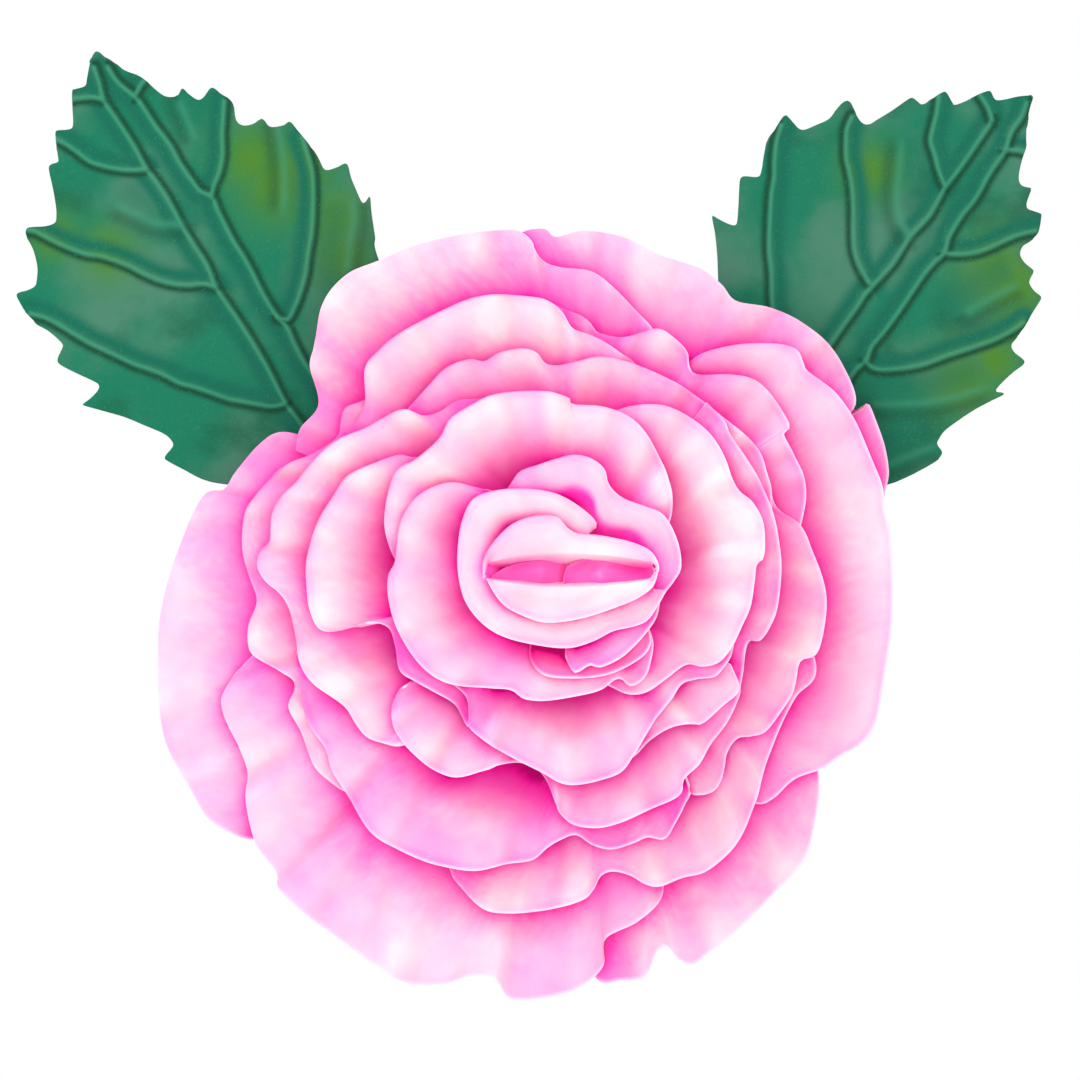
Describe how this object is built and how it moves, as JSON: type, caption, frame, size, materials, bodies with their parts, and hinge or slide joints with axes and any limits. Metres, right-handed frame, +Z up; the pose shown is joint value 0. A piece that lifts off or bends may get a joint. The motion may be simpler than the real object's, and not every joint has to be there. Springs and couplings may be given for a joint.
{
  "type": "hair flower clip",
  "caption": "Large layered foam rose hair flower with moulded serrated leaves and a sprung duckbill clip on its felt back.",
  "frame": {"origin": "centre of the felt's back face, on the rose's bud axis", "axes": "-Y is the way the flower faces, +Y is towards the hair, +X is across the clip towards its tail, +Z is up between the leaves"},
  "size_m": [0.249, 0.0778, 0.229],
  "materials": {
    "petal_foam": "satin foam sheet",
    "deep_foam": "satin foam sheet",
    "leaf_foam": "satin moulded foam",
    "felt": "matt felt",
    "clip_steel": "plated",
    "spring_steel": "drawn wire"
  },
  "bodies": {
    "flower": {"outer_petal_far_right": "petal_foam", "outer_petal_left": "petal_foam", "outer_petal_top_right": "petal_foam", "outer_petal_bottom_right": "petal_foam", "outer_petal_top_left": "petal_foam", "outer_petal_bottom_left": "petal_foam", "second_petal_right_wrap": "petal_foam", "second_petal_bottom": "petal_foam", "second_petal_left": "petal_foam", "second_petal_top": "petal_foam", "second_petal_right": "petal_foam", "second_petal_bottom_left": "petal_foam", "second_petal_top_left": "petal_foam", "third_petal_top": "petal_foam", "third_petal_left": "petal_foam", "third_petal_bottom": "petal_foam", "third_petal_right": "petal_foam", "fourth_petal_left": "petal_foam", "fourth_petal_lower_right": "petal_foam", "fourth_petal_bottom": "petal_foam", "fourth_petal_right": "petal_foam", "fourth_petal_top": "petal_foam", "inner_petal_wrap": "petal_foam", "inner_petal_low_back": "deep_foam", "inner_petal_low_front": "petal_foam", "bud_heart_left": "deep_foam", "bud_heart_right": "deep_foam", "bud_petal_upper_right": "petal_foam", "bud_wrap": "petal_foam", "bud_lip_lower": "petal_foam", "bud_lip_upper": "petal_foam", "bud_core": "deep_foam", "foam_base": "deep_foam", "felt_backing": "felt", "leaf_left": "leaf_foam", "leaf_right": "leaf_foam", "clip_fixed_jaw": "clip_steel", "clip_pin": "spring_steel", "clip_spring": "spring_steel"},
    "jaw": {"clip_moving_jaw": "clip_steel"}
  },
  "joints": [
    {"name": "jaw_hinge", "type": "hinge", "parent": "flower", "child": "jaw", "pos_m": [0.009, 0.0047, 0.009], "axis": [0, 0, -1], "range_deg": [0, 30], "stiffness_Nm_per_rad": 0.15, "springref_deg": -34.38}
  ]
}
